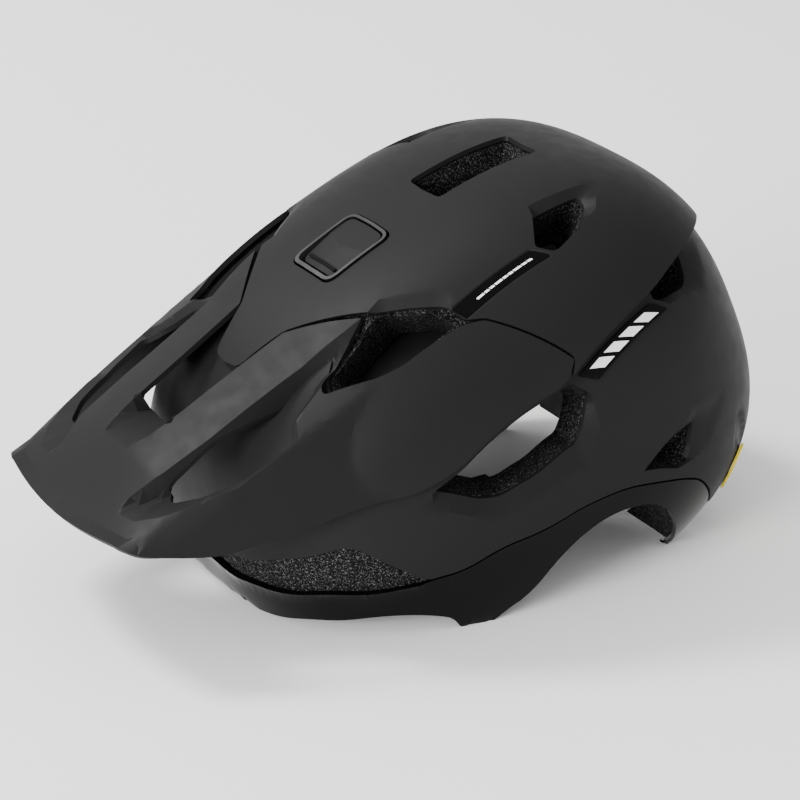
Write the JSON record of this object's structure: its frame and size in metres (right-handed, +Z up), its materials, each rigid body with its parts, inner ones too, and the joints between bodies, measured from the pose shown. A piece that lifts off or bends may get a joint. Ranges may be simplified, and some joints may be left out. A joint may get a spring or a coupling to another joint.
{
  "type": "cycling helmet",
  "caption": "Trail cycling helmet with a tilting visor, vented foam and shells, slip liner, pads, dial-fit cradle and chin strap buckle.",
  "frame": {"origin": "centre of the bounding box in plan, on the plane the helmet stands on", "axes": "+Z up, -Y to the front of the helmet, +X to the wearer's left"},
  "size_m": [0.207, 0.3347, 0.1782],
  "materials": {
    "shell": "matte black, fine texture",
    "gloss_black": "polished black",
    "foam": "moulded bead foam, charcoal",
    "trim_black": "satin black",
    "badge": "satin yellow",
    "liner": "smooth low-friction dark sheet",
    "elastomer": "soft black",
    "nylon": "moulded nylon",
    "webbing": "woven black tape",
    "pad": "knitted pad cover"
  },
  "bodies": {
    "helmet": {"foam_liner": "foam", "crown_shell": "shell", "lower_shell": "shell", "rim_shell": "gloss_black", "inlay_strip_left": "gloss_black", "inlay_strip_right": "gloss_black", "side_strip_left": "gloss_black", "side_strip_right": "gloss_black", "badge_left": "badge", "badge_right": "badge", "camera_seat": "trim_black", "pivot_bush_left": "trim_black", "pivot_bush_right": "trim_black", "headband": "nylon", "liner_anchor_1_left": "elastomer", "liner_anchor_1_right": "elastomer", "liner_anchor_2_left": "elastomer", "liner_anchor_2_right": "elastomer", "strap_front_left": "webbing", "strap_front_right": "webbing", "strap_rear_left": "webbing", "strap_rear_right": "webbing", "strap_anchor_front_left": "trim_black", "strap_anchor_front_right": "trim_black", "strap_anchor_rear_left": "trim_black", "strap_anchor_rear_right": "trim_black", "strap_divider_left": "nylon", "strap_divider_right": "nylon", "chin_strap_left": "webbing", "chin_strap_right": "webbing", "buckle_socket": "nylon"},
    "visor": {"visor": "shell", "visor_pivot_left": "trim_black", "visor_pivot_right": "trim_black"},
    "camera_cover": {"camera_cover": "shell"},
    "slip_liner": {"slip_liner": "liner", "brow_pad": "pad", "rear_pad": "pad", "top_pad_left": "pad", "top_pad_right": "pad", "side_pad_left": "pad", "side_pad_right": "pad"},
    "cradle": {"dial_housing": "nylon", "housing_cover": "nylon"},
    "dial": {"dial_knob": "elastomer", "dial_pinion": "nylon"},
    "rack_left": {"rack_left": "nylon"},
    "rack_right": {"rack_right": "nylon"},
    "buckle_tongue": {"buckle_tongue": "nylon"},
    "cam_lever_left": {"cam_lever_left": "nylon"},
    "cam_lever_right": {"cam_lever_right": "nylon"}
  },
  "joints": [
    {"name": "visor_tilt", "type": "hinge", "parent": "helmet", "child": "visor", "pos_m": [0, -0.0012, 0.128], "axis": [-1, 0, 0], "range_deg": [0, 12]},
    {"name": "cover_pull", "type": "slide", "parent": "helmet", "child": "camera_cover", "axis": [0, -0.6157, 0.788], "range_m": [0, 0.008]},
    {"name": "liner_yaw", "type": "hinge", "parent": "helmet", "child": "slip_liner", "pos_m": [0, 0.04, 0.1], "axis": [0, 0, 1], "range_deg": [-1.5, 1.5], "stiffness_Nm_per_rad": 3},
    {"name": "cradle_height", "type": "hinge", "parent": "helmet", "child": "cradle", "pos_m": [0, 0.03, 0.05], "axis": [1, 0, 0], "range_deg": [-3, 6]},
    {"name": "dial_turn", "type": "hinge", "parent": "cradle", "child": "dial", "pos_m": [0, 0.11, 0.038], "axis": [0, -1, 0], "range_deg": [0, 250]},
    {"name": "rack_left_slide", "type": "slide", "parent": "cradle", "child": "rack_left", "axis": [-1, 0, 0], "range_m": [0, 0.0184]},
    {"name": "rack_right_slide", "type": "slide", "parent": "cradle", "child": "rack_right", "axis": [1, 0, 0], "range_m": [0, 0.0184]},
    {"name": "buckle_release", "type": "slide", "parent": "helmet", "child": "buckle_tongue", "axis": [-1, 0, 0], "range_m": [0, 0.008]},
    {"name": "cam_left_open", "type": "hinge", "parent": "helmet", "child": "cam_lever_left", "pos_m": [0.0475, 0.0363, 0.0075], "axis": [0, 1, 0], "range_deg": [0, 80]},
    {"name": "cam_right_open", "type": "hinge", "parent": "helmet", "child": "cam_lever_right", "pos_m": [-0.0475, 0.0363, 0.0075], "axis": [0, -1, 0], "range_deg": [0, 80]}
  ],
  "couplings": [
    {"joint": "rack_left_slide", "follows": "dial_turn", "m_per_rad": 0.0042},
    {"joint": "rack_right_slide", "follows": "dial_turn", "m_per_rad": 0.0042}
  ]
}
